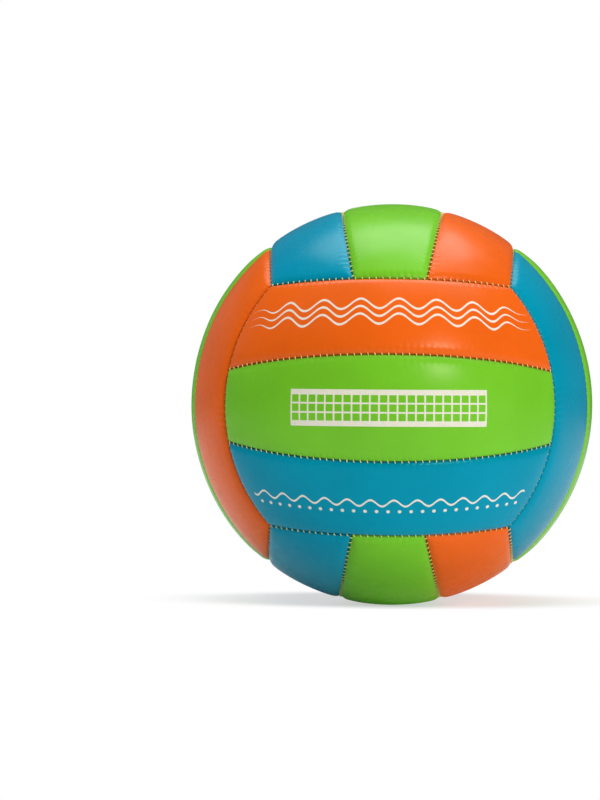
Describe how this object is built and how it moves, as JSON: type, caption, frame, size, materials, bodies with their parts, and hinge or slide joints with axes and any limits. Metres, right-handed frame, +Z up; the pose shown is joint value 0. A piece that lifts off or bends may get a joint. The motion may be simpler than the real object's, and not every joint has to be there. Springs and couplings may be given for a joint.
{
  "type": "volleyball",
  "caption": "Beach volleyball of stitched soft panels in orange, green and blue, with foam, cloth backing, air bladder and needle valve.",
  "frame": {"origin": "centre of the ball", "axes": "+Z up through the top face, -Y out of the middle of the front face that the picture shows, +X to its right, +Y out of the valve"},
  "size_m": [0.2132, 0.2131, 0.2132],
  "materials": {
    "orange_skin": "soft grained synthetic leather, satin",
    "green_skin": "soft grained synthetic leather, satin",
    "blue_skin": "soft grained synthetic leather, satin",
    "foam": "closed-cell foam, matt",
    "backing_cloth": "woven cotton, matt",
    "thread": "waxed polyester thread, satin",
    "bladder_rubber": "moulded butyl rubber, matt",
    "valve_rubber": "moulded rubber, matt",
    "plug_rubber": "moulded soft rubber, satin"
  },
  "bodies": {
    "root": {"front_upper_skin": "orange_skin", "front_middle_skin": "green_skin", "front_lower_skin": "blue_skin", "back_upper_skin": "blue_skin", "back_middle_skin": "green_skin", "back_lower_skin": "orange_skin", "bottom_right_skin": "orange_skin", "bottom_middle_skin": "green_skin", "bottom_left_skin": "blue_skin", "top_right_skin": "orange_skin", "top_middle_skin": "green_skin", "top_left_skin": "blue_skin", "left_back_skin": "blue_skin", "left_middle_skin": "green_skin", "left_front_skin": "orange_skin", "right_back_skin": "orange_skin", "right_middle_skin": "green_skin", "right_front_skin": "blue_skin", "front_upper_foam": "foam", "front_middle_foam": "foam", "front_lower_foam": "foam", "back_upper_foam": "foam", "back_middle_foam": "foam", "back_lower_foam": "foam", "bottom_right_foam": "foam", "bottom_middle_foam": "foam", "bottom_left_foam": "foam", "top_right_foam": "foam", "top_middle_foam": "foam", "top_left_foam": "foam", "left_back_foam": "foam", "left_middle_foam": "foam", "left_front_foam": "foam", "right_back_foam": "foam", "right_middle_foam": "foam", "right_front_foam": "foam", "front_backings": "backing_cloth", "back_backings": "backing_cloth", "bottom_backings": "backing_cloth", "top_backings": "backing_cloth", "left_backings": "backing_cloth", "right_backings": "backing_cloth", "front_seam_threads": "thread", "back_seam_threads": "thread", "bottom_seam_threads": "thread", "top_seam_threads": "thread", "left_seam_threads": "thread", "right_seam_threads": "thread", "bladder": "bladder_rubber", "valve_patch": "backing_cloth", "valve_body": "valve_rubber", "valve_plug": "plug_rubber"}
  },
  "joints": []
}
